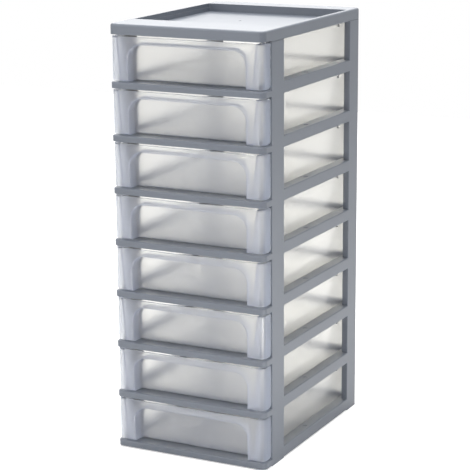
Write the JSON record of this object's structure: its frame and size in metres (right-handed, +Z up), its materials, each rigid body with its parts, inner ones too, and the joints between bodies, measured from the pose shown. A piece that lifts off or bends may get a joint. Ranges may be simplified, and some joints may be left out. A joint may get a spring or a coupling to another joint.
{
  "type": "drawer tower",
  "caption": "Tall narrow storage tower of stacked open grey plastic frames, each holding a translucent pull-out drawer with an arched finger recess, under a tray-shaped top.",
  "frame": {"origin": "on the floor, under the middle of the tower's footprint", "axes": "+Z up, -Y towards the front where the drawers come out, +X to the right of a viewer who faces the front"},
  "size_m": [0.266, 0.363, 0.6865],
  "materials": {
    "grey_plastic": "satin blue-grey moulded plastic",
    "frosted_clear": "frosted translucent moulded plastic with a smooth surface"
  },
  "bodies": {
    "tower": {"top_cover": "grey_plastic", "tier_frame_1": "grey_plastic", "tier_frame_2": "grey_plastic", "tier_frame_3": "grey_plastic", "tier_frame_4": "grey_plastic", "tier_frame_5": "grey_plastic", "tier_frame_6": "grey_plastic", "tier_frame_7": "grey_plastic", "tier_frame_8": "grey_plastic"},
    "drawer_body_1": {"drawer_1": "frosted_clear"},
    "drawer_body_2": {"drawer_2": "frosted_clear"},
    "drawer_body_3": {"drawer_3": "frosted_clear"},
    "drawer_body_4": {"drawer_4": "frosted_clear"},
    "drawer_body_5": {"drawer_5": "frosted_clear"},
    "drawer_body_6": {"drawer_6": "frosted_clear"},
    "drawer_body_7": {"drawer_7": "frosted_clear"},
    "drawer_body_8": {"drawer_8": "frosted_clear"}
  },
  "joints": [
    {"name": "drawer_1_slide", "type": "slide", "parent": "tower", "child": "drawer_body_1", "axis": [0, -1, 0], "range_m": [0, 0.228]},
    {"name": "drawer_2_slide", "type": "slide", "parent": "tower", "child": "drawer_body_2", "axis": [0, -1, 0], "range_m": [0, 0.228]},
    {"name": "drawer_3_slide", "type": "slide", "parent": "tower", "child": "drawer_body_3", "axis": [0, -1, 0], "range_m": [0, 0.228]},
    {"name": "drawer_4_slide", "type": "slide", "parent": "tower", "child": "drawer_body_4", "axis": [0, -1, 0], "range_m": [0, 0.228]},
    {"name": "drawer_5_slide", "type": "slide", "parent": "tower", "child": "drawer_body_5", "axis": [0, -1, 0], "range_m": [0, 0.228]},
    {"name": "drawer_6_slide", "type": "slide", "parent": "tower", "child": "drawer_body_6", "axis": [0, -1, 0], "range_m": [0, 0.228]},
    {"name": "drawer_7_slide", "type": "slide", "parent": "tower", "child": "drawer_body_7", "axis": [0, -1, 0], "range_m": [0, 0.228]},
    {"name": "drawer_8_slide", "type": "slide", "parent": "tower", "child": "drawer_body_8", "axis": [0, -1, 0], "range_m": [0, 0.228]}
  ]
}
